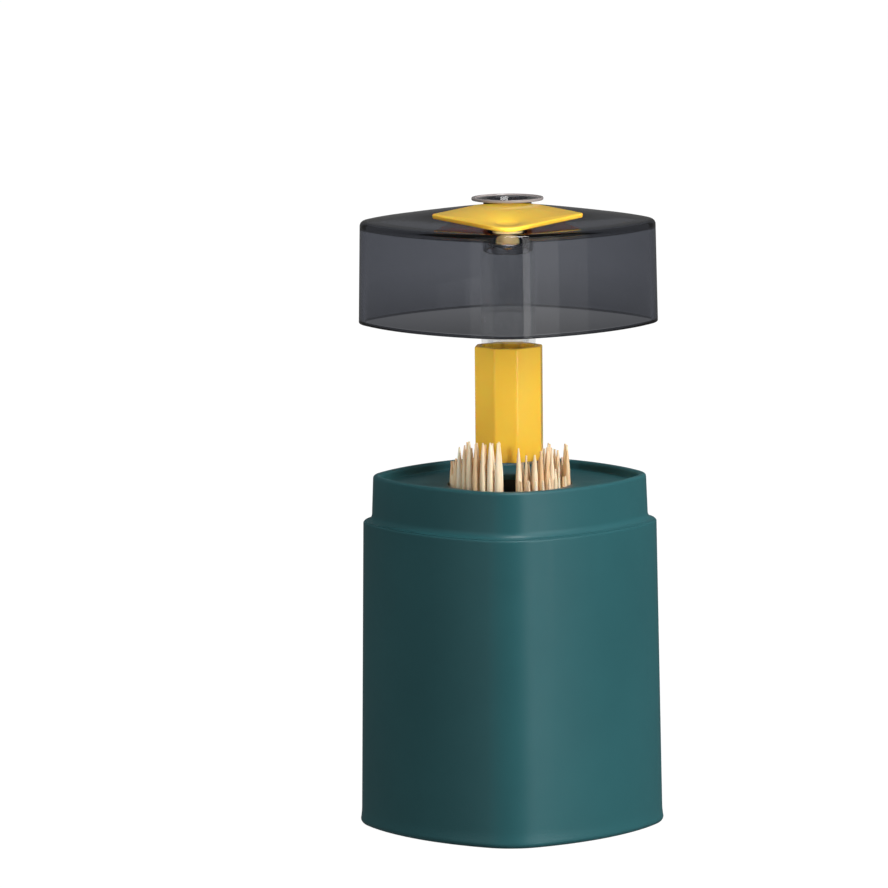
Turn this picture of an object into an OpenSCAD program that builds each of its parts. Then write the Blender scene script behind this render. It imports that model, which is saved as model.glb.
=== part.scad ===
// Toothpick dispenser: a rounded-square casing holding a round well of picks,
// and a smoked cap that lifts off with a clear core and its yellow sleeve.
// A yellow cover on the cap swings about a pin at the cap's front corner and
// uncovers the outlet that lets one pick through.
// Origin: centre of the underside, +Z up, one corner towards -Y. Millimetres.
// The cap is drawn lifted clear of the casing.

/* [Plan outline] */
// Distance across the flat sides, measured at the shoulder
body_flats = 65.8; // [58:0.1:80]
// Radius of each gently bowed side
side_r = 60; // [50:1:90]
// Radius of each rounded corner at the shoulder
corner_r = 14; // [11:0.5:18]

/* [Casing] */
// Height of the shoulder above the table
casing_h = 76.5; // [60:0.5:100]
// Wall of the casing
casing_wall = 2.2; // [1.8:0.1:3]
// How far each side leans out between the shoulder and the foot
casing_draft = 1.05; // [0:0.05:2]
// Extra flare of the foot over its last few millimetres
foot_flare = 0.3; // [0:0.05:0.6]
// Radius of the edge that stands on the table
foot_round = 1.2; // [0.6:0.1:1.5]

/* [Neck] */
// Height of the neck above the shoulder
neck_h = 11.6; // [8:0.1:16]
// How far the neck stands in from the side of the casing
neck_set = 2.2; // [2:0.05:3.5]
// Draft of the neck over its height
neck_draft = 0.35; // [0:0.05:0.8]
// Wall of the neck
neck_wall = 1.9; // [1.4:0.1:2.6]
// Radius of the fillet at the foot of the neck
neck_fillet = 1.7; // [1:0.1:1.8]
// Depth of the top panel below the rim of the neck
panel_drop = 2.3; // [1:0.1:4]
// Thickness of the top panel
panel_t = 2; // [1.5:0.1:3]
// Depth of the skirt that locates the neck inside the casing
skirt_h = 6; // [4:0.5:9]

/* [Well] */
// Inside diameter of the well
well_d = 31; // [29:0.5:36]
// Wall of the well cup
cup_wall = 1.6; // [1.2:0.1:2.4]
// Depth of the well below the rim of the neck
well_depth = 65.1; // [60:0.1:72]
// Thickness of the well's floor
floor_t = 2; // [1.5:0.1:3]

/* [Base plate] */
// Thickness of the base plate
base_t = 2.4; // [1.8:0.1:3]
// Wall of the ring and ribs that carry the well cup
rib_t = 1.5; // [1.2:0.1:2]

/* [Picks] */
// Length of a toothpick
pick_l = 65; // [60:0.5:68]
// Diameter of a toothpick
pick_d = 1.8; // [1.6:0.05:2]
// Length of its tapered point
pick_taper = 8; // [4:0.5:12]
// Highest that a pick is lifted off the floor by its neighbours
pick_jam = 8; // [0:0.5:12]
// Half angle of the gap between the bundles, at the front and at the back
bundle_gap = 8; // [6:1:20]

/* [Cap] */
// Height of the cap's side, without its crown
cap_h = 25.6; // [20:0.1:32]
// How far the cap stands out past the side of the casing
cap_over = 0.6; // [0.3:0.05:1]
// Wall of the cap
cap_wall = 2; // [1.5:0.1:2.4]
// Draft of the cap over its height
cap_draft = 0.45; // [0:0.05:1]
// Height of the crown at the middle
crown_h = 3.1; // [2:0.1:4]
// Radius of the cap's upper edge
cap_round = 1.3; // [0.8:0.1:2]
// How far the cap is lifted above its seat
cap_lift = 49.5; // [40:0.5:80]

/* [Core] */
// Outside diameter of the clear core tube
tube_d = 13.5; // [12:0.1:14]
// Wall of the core tube
tube_wall = 1.6; // [1.2:0.1:2]
// Distance across the four narrow sides of the octagonal sleeve
sleeve_flats = 16.5; // [15.5:0.1:17]
// Distance across its four wide sides
sleeve_sides = 15.7; // [15.2:0.1:17]
// Length of the sleeve
sleeve_l = 28.5; // [20:0.5:34]
// Height of the sleeve's top below the cap's lower edge
sleeve_drop = 5.9; // [2:0.1:10]
// How far the octagon is turned from facing the front
sleeve_turn = -5.5; // [-22:0.5:22]
// Diameter of the flange above the cap
flange_d = 17.9; // [16:0.1:20]
// Thickness of that flange
flange_t = 0.7; // [0.6:0.05:1.2]

/* [Cover] */
// Width of the cover from side corner to side corner
cover_w = 37; // [32:0.5:40]
// Thickness of the cover
cover_t = 1.1; // [0.9:0.05:1.6]
// Radius of the cover's front corner
cover_nose_r = 4.5; // [3:0.1:6]
// Radius of its side corners
cover_tip_r = 1.2; // [0.8:0.1:2]
// Slope of the cover, up towards the middle of the cap
cover_slope = 6; // [4:0.1:8]
// Distance of the pivot from the cap's vertical axis
pivot_off = 30.2; // [28:0.1:32]
// Distance of the pivot behind the cover's front corner
nose_back = 6; // [5:0.1:7]
// Diameter of the pivot pin
pin_d = 7.5; // [6:0.1:8]
// Diameter of the outlet for one pick
outlet_d = 3.4; // [2.6:0.1:3.8]
// Distance of the outlet from the cap's vertical axis
outlet_off = 12.7; // [11.8:0.1:14]

/* [Clearances] */
// Gap around a piece that drops into another
fit_gap = 0.1; // [0.05:0.01:0.2]
// Radial gap of the pin in its bore
running_gap = 0.08; // [0.05:0.01:0.1]
// Gap that keeps the closed cap off the shoulder, and the cover off the cap
seat_gap = 0.3; // [0.2:0.05:0.5]

/* [Hidden] */

green = [0.10, 0.27, 0.28];
dark_green = [0.03, 0.06, 0.06];
yellow = [0.94, 0.74, 0.16];
wood = [0.88, 0.74, 0.56];
smoke = [0.25, 0.28, 0.32, 0.5];
clear = [0.85, 0.88, 0.9, 0.35];

half_w = body_flats / 2;

// Steps along each side and each corner of the plan outline
side_steps = 7;
corner_steps = 6;

// ---- plan outline -------------------------------------------------------
// Four bowed sides and four corners, all tangent. Every wall and step of the
// object is a parallel offset of this outline, so the arcs keep their centres.
side_in = (side_r - half_w) / sqrt(2);
corner_c = sqrt(pow(side_r - corner_r, 2) - side_in * side_in) - side_in;
tangent_a = atan2(side_in, corner_c + side_in);

function arc(cx, cy, r, a0, a1, n) =
    [for (i = [0:n - 1]) let (a = a0 + (a1 - a0) * i / n)
        [cx + r * cos(a), cy + r * sin(a)]];

// The same with its end point
function full_arc(cx, cy, r, a0, a1, n) =
    concat(arc(cx, cy, r, a0, a1, n), [[cx + r * cos(a1), cy + r * sin(a1)]]);

function turned(p, a) = [p[0] * cos(a) - p[1] * sin(a), p[0] * sin(a) + p[1] * cos(a)];

// The outline at half the given distance across the flats
function outline(half) =
    let (grow = half - half_w,
         quarter = concat(
             arc(corner_c, 0, corner_r + grow, -tangent_a, tangent_a, corner_steps),
             arc(-side_in, -side_in, side_r + grow, tangent_a, 90 - tangent_a, side_steps)))
    [for (q = [0:3], p = quarter) turned(p, 90 * q)];

function ring(half, z) = [for (p = outline(half)) [p[0], p[1], z]];

// A ring between the outline and a circle, with its points on the same radii
function crown_ring(half, r, t, z) =
    [for (p = outline(half)) let (k = (1 - t) + t * r / norm(p)) [p[0] * k, p[1] * k, z]];

// ---- lofts --------------------------------------------------------------
// A solid through a list of rings that all have the same number of points.
// It is capped at both ends, or joined end to start when it is a loop.
module loft(rings, loop = false) {
    n = len(rings[0]);
    m = len(rings);
    sides = [for (k = [0:(loop ? m - 1 : m - 2)], i = [0:n - 1])
        let (a = k * n + i, b = k * n + (i + 1) % n,
             c = ((k + 1) % m) * n + (i + 1) % n, d = ((k + 1) % m) * n + i)
        each [[a, d, c], [a, c, b]]];
    caps = loop ? [] : [[for (i = [0:n - 1]) i], [for (i = [n - 1:-1:0]) (m - 1) * n + i]];
    polyhedron([for (r = rings) each r], concat(sides, caps), convexity = 8);
}

// Points of an edge round, as [in from the edge, up] steps
function round_steps(r, a0, a1, n) =
    [for (i = [0:n]) let (a = a0 + (a1 - a0) * i / n) [r * cos(a), r * sin(a)]];

// ---- casing -------------------------------------------------------------
shoulder_z = casing_h;
neck_top = shoulder_z + neck_h;
floor_z = neck_top - well_depth;
base_half = half_w + casing_draft;
rim_round = 0.4;
// The base plate sits in a rebate in the foot of the casing
rebate_h = base_t + 0.8;
rebate_wall = 1.6;
flare_h = 4.5;

module casing() {
    foot_half = base_half + foot_flare;
    color(green) loft(concat(
        [for (s = round_steps(foot_round, -90, 0, 3))
            ring(foot_half - foot_round + s[0], foot_round + s[1])],
        [ring(base_half + foot_flare / 4, (foot_round + flare_h) / 2),
         ring(base_half, flare_h)],
        [for (s = round_steps(rim_round, 0, 90, 2))
            ring(half_w - rim_round + s[0], shoulder_z - rim_round + s[1])],
        [ring(half_w - casing_wall, shoulder_z),
         ring(base_half - casing_wall, rebate_h),
         ring(base_half - rebate_wall, rebate_h),
         ring(base_half - rebate_wall, 0)]), loop = true);
}

// ---- base plate ---------------------------------------------------------
cup_r = well_d / 2 + cup_wall;
ring_r = well_d / 2 + 0.5;
cup_bottom = floor_z - floor_t;
spigot_h = 2;
lug_w = 12;
lug_h = 5;

module base_plate() {
    plate_half = base_half - rebate_wall - fit_gap;
    lug_half = base_half - casing_wall - fit_gap;
    // what stands on the plate is rooted half way into it
    root_z = base_t / 2;
    color(green) {
        linear_extrude(base_t) polygon(outline(plate_half));
        // ring that carries the well cup, with ribs across it
        difference() {
            translate([0, 0, root_z])
                cylinder(r = ring_r, h = cup_bottom - root_z, $fn = 96);
            translate([0, 0, base_t])
                cylinder(r = ring_r - rib_t, h = cup_bottom, $fn = 96);
        }
        for (a = [45, 135]) rotate(a)
            translate([-ring_r + rib_t / 2, -rib_t / 2, root_z])
                cube([2 * ring_r - rib_t, rib_t, cup_bottom - spigot_h - fit_gap - root_z]);
        // lugs that grip the inside of the casing
        for (q = [0:3]) rotate(45 + 90 * q)
            translate([lug_half - 2 * rib_t, -lug_w / 2, root_z])
                cube([1.6 * rib_t, lug_w, base_t - root_z + lug_h]);
    }
}

// ---- neck and top panel -------------------------------------------------
neck_half = half_w - neck_set;
neck_lip = 0.8;
flange_edge = 0.2;
panel_z = neck_top - panel_drop;
// The rim of the well cup seats this far into the panel's underside
cup_seat = 0.8;
cup_top = panel_z - panel_t + cup_seat;

module neck_insert() {
    skirt_half = half_w - casing_wall - fit_gap;
    fillet_half = neck_half + neck_fillet;
    top_half = neck_half - neck_draft;
    inner_half = top_half - neck_wall;
    inner_lip = (neck_wall - neck_lip) * 0.8;
    color(green) difference() {
        loft(concat(
            [ring(inner_half - 0.3, panel_z), ring(inner_half, panel_z + 0.3)],
            [for (s = round_steps(inner_lip, 180, 90, 2))
                ring(inner_half + inner_lip + s[0], neck_top - inner_lip + s[1])],
            [for (s = round_steps(neck_lip, 90, 0, 3))
                ring(top_half - neck_lip + s[0], neck_top - neck_lip + s[1])],
            [for (s = round_steps(neck_fillet, 180, 270, 4))
                ring(fillet_half + s[0], shoulder_z + flange_edge + neck_fillet + s[1])],
            [ring(fillet_half, shoulder_z),
             ring(skirt_half, shoulder_z),
             ring(skirt_half, shoulder_z - skirt_h),
             ring(skirt_half - neck_wall, shoulder_z - skirt_h),
             ring(inner_half - 0.3, panel_z - panel_t)]));
        // recess that locates the rim of the well cup
        translate([0, 0, cup_top - 1 - cup_seat])
            cylinder(r = cup_r + fit_gap, h = 1 + cup_seat, $fn = 96);
        translate([0, 0, panel_z - panel_t - 1])
            cylinder(d = well_d, h = panel_t + 2, $fn = 96);
    }
}

// ---- well cup -----------------------------------------------------------
module pick_cup() {
    color(dark_green) rotate_extrude($fn = 96) polygon([
        [0, cup_bottom - spigot_h],
        [ring_r - rib_t - fit_gap, cup_bottom - spigot_h],
        [ring_r - rib_t - fit_gap, cup_bottom],
        [cup_r - 0.8, cup_bottom],
        [cup_r, cup_bottom + 0.8],
        [cup_r, cup_top],
        [well_d / 2, cup_top],
        [well_d / 2, floor_z + 1],
        [well_d / 2 - 1, floor_z],
        [0, floor_z]]);
}

// ---- toothpicks ---------------------------------------------------------
// Three rows of standing picks line the well and leave its middle to the
// sleeve. The bundles meet neither at the front nor at the back.
pick_r = pick_d / 2;
row_step = pick_d + 0.25;
outer_row = well_d / 2 - pick_r - 0.15;
rows = [for (k = [0:2]) outer_row - k * row_step];
pick_pitch = pick_d + 0.16;
tip_r = 0.25;

module pick() {
    rotate_extrude($fn = 20) polygon([
        [0, 0], [tip_r, 0], [pick_r, pick_taper / 2], [pick_r, pick_l - pick_taper],
        [tip_r, pick_l], [0, pick_l]]);
}

// One bundle over half the well, starting at the given angle
module bundle(start_a, seed) {
    for (k = [0:len(rows) - 1]) {
        margin = bundle_gap + asin(pick_r / rows[k]);
        span = 180 - 2 * margin;
        count = floor(span * PI / 180 * rows[k] / pick_pitch);
        jams = rands(0, 1, count + 1, seed + k);
        for (i = [0:count]) {
            a = start_a + margin + span * i / count;
            // picks near the front have slipped down, and some all round stand on the floor
            share = i % 4 == 3 ? 0 : sin(a) < -0.35 ? 0.55 * jams[i] : 0.5 + 0.5 * jams[i];
            rotate(a) translate([rows[k], 0, floor_z + share * pick_jam]) pick();
        }
    }
}

module toothpicks_left() { color(wood) bundle(90, 11); }

module toothpicks_right() { color(wood) bundle(-90, 23); }

// ---- cap ----------------------------------------------------------------
// Heights above the cap's lower edge; cap_z places them
cap_z = shoulder_z + seat_gap + cap_lift;
cap_half = half_w + cap_over;
cap_top_half = cap_half - cap_draft;
plateau_r = 10.3;
crown_z = cap_h + crown_h;
cap_inner_half = cap_half - cap_wall;
lead_in = 1.2;
mouth_round = 0.5;

// The pivot's frame: its origin is on the cover's underside, +Z along the pin
nose_y = -pivot_off - nose_back;
nose_gap = 0.58;
// where the crown starts at the front corner, and its rise under the nose
crown_reach = corner_c + corner_r + cap_top_half - cap_round - half_w;
nose_rise = nose_gap + crown_h * max(0, (crown_reach + nose_y) / (crown_reach - plateau_r));
pivot_z = cap_h + nose_rise + nose_back * tan(cover_slope);

module at_pivot() {
    translate([0, -pivot_off, cap_z + pivot_z]) rotate([cover_slope, 0, 0]) children();
}

boss_d = 11.8;
boss_drop = 5.7;
ledge_drop = 3.25;
pad_gap = 0.12;
washer_d = 9.4;
washer_t = 0.9;
spigot_d = 2 * (tube_d / 2 - tube_wall) - 0.1;

module cap_body() {
    inner_top_half = cap_top_half - cap_wall;
    inner_round = 1;
    translate([0, 0, cap_z]) loft(concat(
        [crown_ring(inner_top_half - inner_round, plateau_r, 1, crown_z - cap_wall),
         crown_ring(inner_top_half - inner_round, plateau_r, 0.5,
                    cap_h + crown_h / 2 + 0.1 - cap_wall)],
        [for (s = round_steps(inner_round, 90, 0, 2))
            ring(inner_top_half - inner_round + s[0],
                 cap_h - cap_wall - inner_round + s[1])],
        [ring(cap_inner_half, lead_in),
         ring(cap_inner_half + lead_in * 0.6, 0)],
        [for (s = round_steps(mouth_round, -90, 0, 2))
            ring(cap_half - mouth_round + s[0], mouth_round + s[1])],
        [for (s = round_steps(cap_round, 0, 90, 4))
            ring(cap_top_half - cap_round + s[0], cap_h - cap_round + s[1])],
        [crown_ring(cap_top_half - cap_round, plateau_r, 0.5, cap_h + crown_h / 2 + 0.1),
         crown_ring(cap_top_half - cap_round, plateau_r, 1, crown_z)]));
}

module cap_shell() {
    color(smoke) difference() {
        union() {
            cap_body();
            // boss for the pivot pin, with a bearing pad on top
            at_pivot() translate([0, 0, -boss_drop])
                cylinder(d = boss_d, h = boss_drop - 1.2, $fn = 64);
            at_pivot() translate([0, 0, -1.4])
                cylinder(d = boss_d - 2, h = 1.4 - pad_gap, $fn = 64);
        }
        at_pivot() translate([0, 0, -boss_drop - 1])
            cylinder(d = pin_d + 2 * running_gap, h = boss_drop + 3, $fn = 64);
        at_pivot() translate([0, 0, -boss_drop - 1])
            cylinder(d = washer_d + 0.8, h = boss_drop + 1 - ledge_drop, $fn = 64);
        // hole for the core
        translate([0, 0, cap_z + cap_h - cap_wall])
            cylinder(d = spigot_d + 2 * fit_gap, h = crown_h + 2 * cap_wall, $fn = 64);
        // outlet for one pick
        translate([0, -outlet_off, cap_z + cap_h - cap_wall])
            cylinder(d = outlet_d, h = crown_h + 2 * cap_wall, $fn = 48);
    }
}

// ---- core ---------------------------------------------------------------
ceiling_z = cap_z + crown_z - cap_wall;
sleeve_top = cap_z - sleeve_drop;
sleeve_bottom = sleeve_top - sleeve_l;
tube_r = tube_d / 2;
bore_r = tube_r - tube_wall;
lip_t = 0.7;
lip_r = min(sleeve_flats, sleeve_sides) / 2 - 0.15;
head_r = tube_r + 1.75;
head_t = 1.2;

module core_tube() {
    color(clear) rotate_extrude($fn = 72) polygon([
        [0, sleeve_bottom - lip_t],
        [lip_r - 0.2, sleeve_bottom - lip_t],
        [lip_r, sleeve_bottom - lip_t + 0.2],
        [lip_r, sleeve_bottom],
        [tube_r, sleeve_bottom],
        [tube_r, ceiling_z - head_t - 1],
        [head_r, ceiling_z - head_t],
        [head_r, ceiling_z],
        [bore_r, ceiling_z],
        [bore_r, sleeve_bottom + 1],
        [0, sleeve_bottom + 1]]);
}

module core_sleeve() {
    color(yellow) difference() {
        translate([0, 0, sleeve_bottom + sleeve_l / 2]) rotate(sleeve_turn) intersection() {
            cube([sleeve_flats, sleeve_flats, sleeve_l], center = true);
            rotate(45) cube([sleeve_sides, sleeve_sides, sleeve_l], center = true);
        }
        translate([0, 0, sleeve_bottom - 1])
            cylinder(r = tube_r + fit_gap / 2, h = sleeve_l + 2, $fn = 72);
    }
}

// The cap of the core: its neck spaces a flange above the crown, and the
// free corner of the cover slides in under that flange.
stem_r = 6;
cover_reach = pivot_off - stem_r - seat_gap;
cover_top_rise = nose_rise + cover_t / cos(cover_slope);
flange_z = cap_z + cap_h + cover_top_rise
         + (nose_back + cover_reach) * tan(cover_slope) + pad_gap;
plug_l = 8;

module core_cap() {
    seat_z = cap_z + crown_z;
    top_z = flange_z + flange_t;
    color(smoke) rotate_extrude($fn = 96) polygon([
        [0, seat_z - plug_l],
        [spigot_d / 2 - 0.4, seat_z - plug_l],
        [spigot_d / 2, seat_z - plug_l + 0.4],
        [spigot_d / 2, seat_z],
        [stem_r, seat_z],
        [stem_r, flange_z],
        [flange_d / 2 - 0.15, flange_z],
        [flange_d / 2, flange_z + 0.15],
        [flange_d / 2, top_z - 0.15],
        [flange_d / 2 - 0.15, top_z],
        [flange_d / 2 - 0.75, top_z],
        [flange_d / 2 - 1, top_z - 0.3],
        [stem_r - 0.8, top_z - 0.3],
        [stem_r - 1.8, top_z - 1.6],
        [0, top_z - 2]]);
}

// ---- cover and its pivot ------------------------------------------------
tip_x = cover_w / 2;

// Outline of the cover about the pivot: a square standing on its corner, its
// far corner cut by an arc that passes the core's stem.
function cover_outline() =
    let (tip_in = cover_tip_r * (sqrt(2) - 1),
         half_diag = tip_x + tip_in,
         nose_in = cover_nose_r * (sqrt(2) - 1),
         mid_y = -nose_back - nose_in + half_diag,
         tip_c = half_diag - cover_tip_r * sqrt(2),
         nose_c = mid_y - half_diag + cover_nose_r * sqrt(2),
         edge_d = (half_diag + mid_y) / sqrt(2),
         meet_a = 45 + acos(edge_d / cover_reach))
    concat(
        full_arc(0, nose_c, cover_nose_r, 225, 315, 8),
        full_arc(tip_c, mid_y, cover_tip_r, 315, 405, 6),
        full_arc(0, 0, cover_reach, meet_a, 180 - meet_a, 8),
        full_arc(-tip_c, mid_y, cover_tip_r, 135, 225, 6));

dimple_r = 3;
dimple_h = 0.25;

module cover_plate() {
    color(yellow) at_pivot() difference() {
        linear_extrude(cover_t) polygon(cover_outline());
        // shallow round dimple over the pin
        translate([0, 0, cover_t - dimple_h]) cylinder(r = dimple_r, h = 1, $fn = 64);
    }
}

pin_l = ledge_drop + pad_gap;
screw_r = 1.2;
screw_l = 2.6;
screw_head_r = 2.7;
screw_head_h = 1.1;

module pivot_pin() {
    color(yellow) at_pivot() rotate_extrude($fn = 64) polygon([
        [0, screw_l - pin_l],
        [screw_r + fit_gap / 2, screw_l - pin_l],
        [screw_r + fit_gap / 2, -pin_l],
        [pin_d / 2, -pin_l],
        [pin_d / 2, 0],
        [0, 0]]);
}

module pivot_washer() {
    color("silver") at_pivot() translate([0, 0, -pin_l - washer_t]) difference() {
        cylinder(d = washer_d, h = washer_t, $fn = 64);
        translate([0, 0, -1]) cylinder(r = screw_r + fit_gap / 2, h = washer_t + 2, $fn = 48);
    }
}

module pivot_screw() {
    under_head = -pin_l - washer_t;
    color("gold") at_pivot() difference() {
        rotate_extrude($fn = 48) polygon([
            [0, under_head - screw_head_h],
            [screw_head_r * 0.6, under_head - screw_head_h],
            [screw_head_r * 0.9, under_head - screw_head_h * 0.7],
            [screw_head_r, under_head - screw_head_h * 0.3],
            [screw_head_r, under_head],
            [screw_r, under_head],
            [screw_r, under_head + washer_t + screw_l - 0.4],
            [screw_r - 0.4, under_head + washer_t + screw_l - 0.1],
            [0, under_head + washer_t + screw_l - 0.1]]);
        // cross recess
        for (a = [0, 90]) rotate(a)
            translate([-1.3, -0.3, under_head - screw_head_h - 1]) cube([2.6, 0.6, 1.6]);
    }
}

base_plate();
casing();
neck_insert();
pick_cup();
toothpicks_left();
toothpicks_right();
cap_shell();
core_tube();
core_sleeve();
core_cap();
cover_plate();
pivot_pin();
pivot_washer();
pivot_screw();
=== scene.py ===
"""Looks of the toothpick dispenser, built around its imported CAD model.

The moulded shells repeat part.scad's formulas with many more steps, in
millimetres, and become meshes in metres. The cap is drawn lifted, as the
model is at rest.
"""
import math
import random

import bmesh
import bpy
from mathutils import Matrix, Vector


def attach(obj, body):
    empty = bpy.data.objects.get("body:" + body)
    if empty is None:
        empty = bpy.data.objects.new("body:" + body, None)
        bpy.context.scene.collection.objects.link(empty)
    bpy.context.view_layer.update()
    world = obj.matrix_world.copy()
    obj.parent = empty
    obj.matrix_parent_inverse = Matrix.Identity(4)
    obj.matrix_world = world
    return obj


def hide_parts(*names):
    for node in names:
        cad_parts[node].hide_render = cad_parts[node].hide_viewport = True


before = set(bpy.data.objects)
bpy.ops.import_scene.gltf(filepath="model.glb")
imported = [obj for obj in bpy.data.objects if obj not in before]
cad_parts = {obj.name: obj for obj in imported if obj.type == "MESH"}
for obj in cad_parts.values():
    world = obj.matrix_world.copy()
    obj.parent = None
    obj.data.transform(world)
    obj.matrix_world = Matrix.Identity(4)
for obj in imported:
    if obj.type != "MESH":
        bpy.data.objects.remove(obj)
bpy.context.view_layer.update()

MM = 0.001
scene = bpy.context.scene
sin, cos, tan = math.sin, math.cos, math.tan
rad, pi = math.radians, math.pi

# ---- sizes, as in part.scad (mm) -------------------------------------------
HALF_W = 32.9
SIDE_R = 60.0
CORNER_R = 14.0
SHOULDER_Z = 76.5
CASING_WALL = 2.2
BASE_HALF = HALF_W + 1.05
FOOT_FLARE, FOOT_ROUND, FLARE_H = 0.3, 1.2, 4.5
RIM_ROUND = 0.4
BASE_T, BASE_EDGE = 2.4, 0.3
LUG_W, LUG_H, ROOT = 12, 5, 0.4
REBATE_H = BASE_T + 0.8
REBATE_WALL = 1.6
FIT_GAP = 0.1

NECK_TOP = SHOULDER_Z + 11.6
NECK_HALF = HALF_W - 2.2
NECK_DRAFT, NECK_WALL, NECK_FILLET, NECK_LIP = 0.35, 1.9, 1.7, 0.8
FLANGE_EDGE = 0.2
SKIRT_H = 6.0
PANEL_Z = NECK_TOP - 2.3
PANEL_T = 2.0
PANEL_FILLET = 0.5
MOUTH_ROUND = 0.35
WELL_R = 15.5
CUP_R = WELL_R + 1.6
CUP_SEAT = 0.8
CUP_TOP = PANEL_Z - PANEL_T + CUP_SEAT
FLOOR_Z, FLOOR_T = 23.0, 2.0
CUP_BOTTOM = FLOOR_Z - FLOOR_T
RING_R = WELL_R + 0.5
RIB_T = 1.5
CUP_SPIGOT = 2

CAP_Z = SHOULDER_Z + 0.3 + 49.5
CAP_H, CROWN_H, CAP_WALL = 25.6, 3.1, 2.0
CAP_HALF = HALF_W + 0.6
CAP_TOP_HALF = CAP_HALF - 0.45
CAP_ROUND, CAP_INNER_ROUND = 1.3, 1.0
# the wall thins towards the crown's edge, and the edge below is round outside, cut inside
CROWN_EDGE_WALL, CAP_FOOT_ROUND, CAP_FOOT_CUT = 1.35, 0.35, 0.7
PLATEAU_R, CROWN_BULGE = 10.3, 0.129
CROWN_Z = CAP_H + CROWN_H

TUBE_R, TUBE_WALL = 6.75, 1.6
SLEEVE_FLATS, SLEEVE_SIDES, SLEEVE_L, SLEEVE_TURN = 16.5, 15.7, 28.5, -5.5
SLEEVE_TOP = CAP_Z - 5.9
SLEEVE_BOTTOM = SLEEVE_TOP - SLEEVE_L
SLEEVE_ROUND, SLEEVE_EDGE = 1.3, 0.3
LIP_R, LIP_T = SLEEVE_SIDES / 2 - 0.15, 0.7
HEAD_R, HEAD_T = TUBE_R + 1.75, 1.2
CEILING_Z = CAP_Z + CROWN_Z - CAP_WALL
SPIGOT_R = TUBE_R - TUBE_WALL - 0.05
PLUG_L = 8
STEM_R, FLANGE_R, FLANGE_T = 6.0, 8.95, 0.7
RIM_W, DISH_DEPTH = 1.05, 0.3

COVER_W, COVER_T, COVER_EDGE = 37.0, 1.1, 0.35
NOSE_R, TIP_R = 4.5, 1.2
# radius and depth of the rings of the finger rest over the pin
DIMPLE = ((0.7, 0.4), (1.4, 0.36), (2.0, 0.29), (2.5, 0.19), (2.85, 0.08), (3.05, 0))
SLOPE = rad(6)
PIVOT_OFF, NOSE_BACK = 30.2, 6.0
NOSE_RISE, PAD_GAP = 0.58, 0.12
PIVOT_Z = CAP_H + NOSE_RISE + NOSE_BACK * tan(SLOPE)
COVER_REACH = PIVOT_OFF - STEM_R - 0.3
BOSS_R, BOSS_DROP, LEDGE_DROP = 5.9, 5.7, 3.25
PAD_R, PAD_RISE = BOSS_R - 1, 1.2
PIN_R, RUNNING_GAP = 3.75, 0.08
PIN_L = LEDGE_DROP + PAD_GAP
WASHER_R, WASHER_T, WASHER_GAP = 4.7, 0.9, 0.4
SCREW_R, SCREW_L, HOLE_R = 1.2, 2.6, 1.25
SCREW_HEAD_R, SCREW_HEAD_H = 2.7, 1.1
RECESS_L, RECESS_W, RECESS_DEPTH = 2.6, 0.6, 0.6
OUTLET_R, OUTLET_OFF = 1.7, 12.7
FLANGE_Z = (CAP_Z + CAP_H + NOSE_RISE + COVER_T / cos(SLOPE)
            + (NOSE_BACK + COVER_REACH) * tan(SLOPE) + PAD_GAP)

AT_PIVOT = (Matrix.Translation((0, -PIVOT_OFF, CAP_Z + PIVOT_Z))
            @ Matrix.Rotation(SLOPE, 4, "X"))


# ---- outlines and profiles --------------------------------------------------
def arc(cx, cy, r, a0, a1, n, closed=False):
    """Points on an arc from a0 to a1 degrees, without its end unless closed."""
    last = n + 1 if closed else n
    return [(cx + r * cos(rad(a0 + (a1 - a0) * i / n)),
             cy + r * sin(rad(a0 + (a1 - a0) * i / n))) for i in range(last)]


SIDE_IN = (SIDE_R - HALF_W) / math.sqrt(2)
CORNER_C = math.sqrt((SIDE_R - CORNER_R) ** 2 - SIDE_IN ** 2) - SIDE_IN
TANGENT_A = math.degrees(math.atan2(SIDE_IN, CORNER_C + SIDE_IN))
CORNER_STEPS, SIDE_STEPS = 20, 24
# a point closer to the axis than this (mm) lies on it
AXIS = 1e-6


def outline(half):
    """The bowed square with round corners, at half that distance across the flats."""
    grow = half - HALF_W
    quarter = (arc(CORNER_C, 0, CORNER_R + grow, -TANGENT_A, TANGENT_A, CORNER_STEPS)
               + arc(-SIDE_IN, -SIDE_IN, SIDE_R + grow, TANGENT_A, 90 - TANGENT_A, SIDE_STEPS))
    points = []
    for q in range(4):
        c, s = round(cos(rad(90 * q))), round(sin(rad(90 * q)))
        points += [(x * c - y * s, x * s + y * c) for x, y in quarter]
    return points


def ring(half, z):
    """The outline as a ring at a height."""
    return [(x, y, z) for x, y in outline(half)]


def crown_ring(half, r, t, z):
    """A ring part of the way, t, from the outline to a circle."""
    points = []
    for x, y in outline(half):
        k = (1 - t) + t * r / math.hypot(x, y)
        points.append((x * k, y * k, z))
    return points


def round_steps(r, a0, a1, n):
    """Offsets (out, up) along an edge round from a0 to a1 degrees."""
    return arc(0, 0, r, a0, a1, n, True)


def round_rings(half, z, r, a0, a1, n):
    """Rings around an edge round whose centre line is at that half width and height."""
    return [ring(half + out, z + up) for out, up in round_steps(r, a0, a1, n)]


def wall_rings(half_a, z_a, half_b, z_b, shares):
    """Rings on a straight wall; the ones close to its ends keep its shading flat."""
    return [ring(half_a + (half_b - half_a) * t, z_a + (z_b - z_a) * t) for t in shares]


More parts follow.
